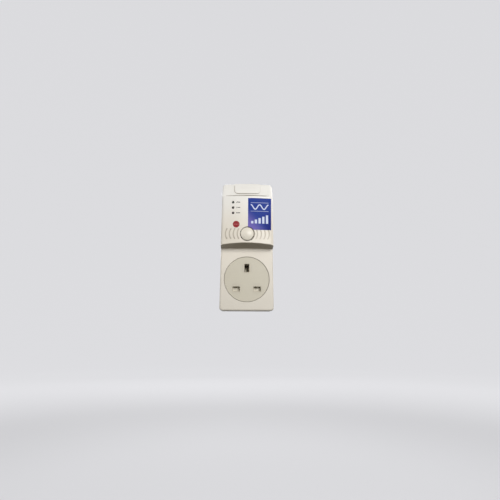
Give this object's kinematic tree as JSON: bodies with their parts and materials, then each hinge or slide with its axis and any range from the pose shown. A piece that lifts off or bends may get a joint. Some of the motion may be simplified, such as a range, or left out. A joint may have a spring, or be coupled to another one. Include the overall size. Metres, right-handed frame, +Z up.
{
  "type": "plug-through appliance surge protector",
  "caption": "Plug-through protector for a fridge or freezer: flat-pin plug on the back, shuttered outlet on the front, hood with lamps, push button and label.",
  "frame": {"origin": "on the plug face, midway between the line pin and the neutral pin", "axes": "+X to the right seen from the front, +Y out of the plug face towards the wall, +Z up"},
  "size_m": [0.0574, 0.0809, 0.1345],
  "materials": {
    "case": "fine texture, satin",
    "rear_case": "fine texture, satin",
    "outlet": "smooth, satin",
    "shutter": "satin",
    "button": "semi gloss",
    "brass": "bright",
    "sleeve": "satin",
    "spring_steel": "bright wire",
    "fuse_ceramic": "plain",
    "fuse_cap": "plated",
    "fuse_drawer": "satin",
    "carrier": "satin",
    "board": "solder resist",
    "relay_case": "satin",
    "film_case": "satin",
    "can": "sleeved can",
    "varistor_coat": "lacquer",
    "chip": "satin",
    "resistor_coat": "lacquer",
    "diode_case": "satin",
    "green_lens": "unlit tinted lens",
    "amber_lens": "unlit tinted lens",
    "red_lens": "unlit tinted lens",
    "switch_case": "satin",
    "label_print": "gloss printed film",
    "screw": "zinc plated"
  },
  "bodies": {
    "housing": {"front_housing": "case", "rear_housing": "rear_case", "socket_insert": "outlet", "shutter_spring": "spring_steel", "contact_carrier": "carrier", "line_contact": "brass", "neutral_contact": "brass", "earth_contact": "brass", "line_pin": "brass", "neutral_pin": "brass", "earth_pin": "brass", "pin_sleeves": "sleeve", "line_fuse_clip": "brass", "load_fuse_clip": "brass", "earth_strap": "brass", "line_strap": "brass", "neutral_strap": "brass", "neutral_tap": "brass", "circuit_board": "board", "relay": "relay_case", "film_capacitor": "film_case", "electrolytic_capacitors": "can", "varistors": "varistor_coat", "controller_chip": "chip", "resistors": "resistor_coat", "rectifier_diodes": "diode_case", "green_led": "green_lens", "amber_led": "amber_lens", "red_led": "red_lens", "push_switch": "switch_case", "button_spring": "spring_steel", "front_label": "label_print", "housing_screws": "screw", "board_screws": "screw"},
    "button": {"reset_button": "button", "switch_plunger": "switch_case"},
    "shutter_slide": {"shutter": "shutter"},
    "fuse_drawer": {"fuse_carrier": "fuse_drawer", "fuse_barrel": "fuse_ceramic", "fuse_caps": "fuse_cap"}
  },
  "joints": [
    {"name": "button_press", "type": "slide", "parent": "housing", "child": "button", "axis": [0, 1, 0], "range_m": [0, 0.0015], "stiffness_N_per_m": 800, "springref_m": -0.001, "deforming": ["button_spring"]},
    {"name": "shutter_drop", "type": "slide", "parent": "housing", "child": "shutter_slide", "axis": [0, 0, -1], "range_m": [0, 0.0065], "stiffness_N_per_m": 120, "springref_m": -0.004, "deforming": ["shutter_spring"]},
    {"name": "fuse_drawer_slide", "type": "slide", "parent": "housing", "child": "fuse_drawer", "axis": [0, 1, 0], "range_m": [0, 0.014]}
  ]
}
